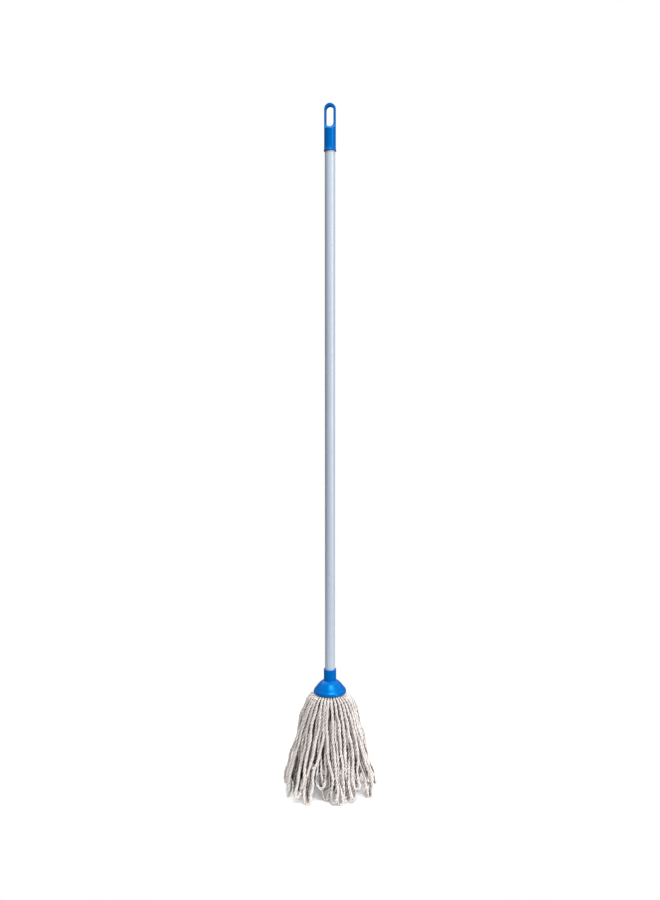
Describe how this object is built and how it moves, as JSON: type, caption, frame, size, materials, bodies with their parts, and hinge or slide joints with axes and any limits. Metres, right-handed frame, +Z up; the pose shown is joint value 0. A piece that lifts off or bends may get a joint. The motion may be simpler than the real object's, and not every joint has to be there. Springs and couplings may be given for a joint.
{
  "type": "string mop",
  "caption": "String mop: a coated tube handle that screws into a domed plastic socket holding loops of cotton yarn, with a slotted hanging cap on top.",
  "frame": {"origin": "on the floor, under the handle's axis, midway across the spread yarn", "axes": "+Z up the handle, +X to the right as seen from the front, -Y towards the front; the hanging slot runs through along Y"},
  "size_m": [0.2179, 0.1805, 1.487],
  "materials": {
    "blue_plastic": "moulded blue polypropylene, semi-gloss",
    "coated_steel": "pale blue-grey plastic coating on thin steel tube, satin",
    "inner_plastic": "unpigmented moulded plastic",
    "screw_steel": "bright zinc-plated steel",
    "cotton_yarn": "loosely plied off-white cotton"
  },
  "bodies": {
    "mop_head": {"mop_socket": "blue_plastic", "yarn_retainer": "inner_plastic", "retainer_screw": "screw_steel", "yarn_loop_01": "cotton_yarn", "yarn_loop_02": "cotton_yarn", "yarn_loop_03": "cotton_yarn", "yarn_loop_04": "cotton_yarn", "yarn_loop_05": "cotton_yarn", "yarn_loop_06": "cotton_yarn", "yarn_loop_07": "cotton_yarn", "yarn_loop_08": "cotton_yarn", "yarn_loop_09": "cotton_yarn", "yarn_loop_10": "cotton_yarn", "yarn_loop_11": "cotton_yarn", "yarn_loop_12": "cotton_yarn", "yarn_loop_13": "cotton_yarn", "yarn_loop_14": "cotton_yarn", "yarn_loop_15": "cotton_yarn", "yarn_loop_16": "cotton_yarn", "yarn_loop_17": "cotton_yarn", "yarn_loop_18": "cotton_yarn", "yarn_loop_19": "cotton_yarn", "yarn_loop_20": "cotton_yarn", "yarn_loop_21": "cotton_yarn", "yarn_loop_22": "cotton_yarn", "yarn_loop_23": "cotton_yarn", "yarn_loop_24": "cotton_yarn", "yarn_loop_25": "cotton_yarn", "yarn_loop_26": "cotton_yarn", "yarn_loop_27": "cotton_yarn", "yarn_loop_28": "cotton_yarn", "yarn_loop_29": "cotton_yarn", "yarn_loop_30": "cotton_yarn", "yarn_loop_31": "cotton_yarn", "yarn_loop_32": "cotton_yarn", "yarn_loop_33": "cotton_yarn", "yarn_loop_34": "cotton_yarn", "yarn_loop_35": "cotton_yarn", "yarn_loop_36": "cotton_yarn", "yarn_loop_37": "cotton_yarn", "yarn_loop_38": "cotton_yarn", "yarn_loop_39": "cotton_yarn", "yarn_loop_40": "cotton_yarn", "yarn_loop_41": "cotton_yarn", "yarn_loop_42": "cotton_yarn", "yarn_loop_43": "cotton_yarn", "yarn_loop_44": "cotton_yarn", "yarn_loop_45": "cotton_yarn", "yarn_loop_46": "cotton_yarn", "yarn_loop_47": "cotton_yarn", "yarn_loop_48": "cotton_yarn", "yarn_loop_49": "cotton_yarn", "yarn_loop_50": "cotton_yarn", "yarn_loop_51": "cotton_yarn", "yarn_loop_52": "cotton_yarn", "yarn_loop_53": "cotton_yarn", "yarn_loop_54": "cotton_yarn"},
    "hanging_cap": {"hanging_cap": "blue_plastic"},
    "handle": {"handle_tube": "coated_steel", "threaded_ferrule": "inner_plastic"}
  },
  "joints": [
    {"name": "handle_lift", "type": "slide", "parent": "mop_head", "child": "hanging_cap", "axis": [0, 0, 1], "range_m": [0, 0.025]},
    {"name": "handle_unscrew", "type": "hinge", "parent": "hanging_cap", "child": "handle", "pos_m": [0, 0, 0.27], "axis": [0, 0, 1], "range_deg": [0, 1800]}
  ],
  "couplings": [
    {"joint": "handle_unscrew", "follows": "handle_lift", "rad_per_m": 1256.6}
  ]
}
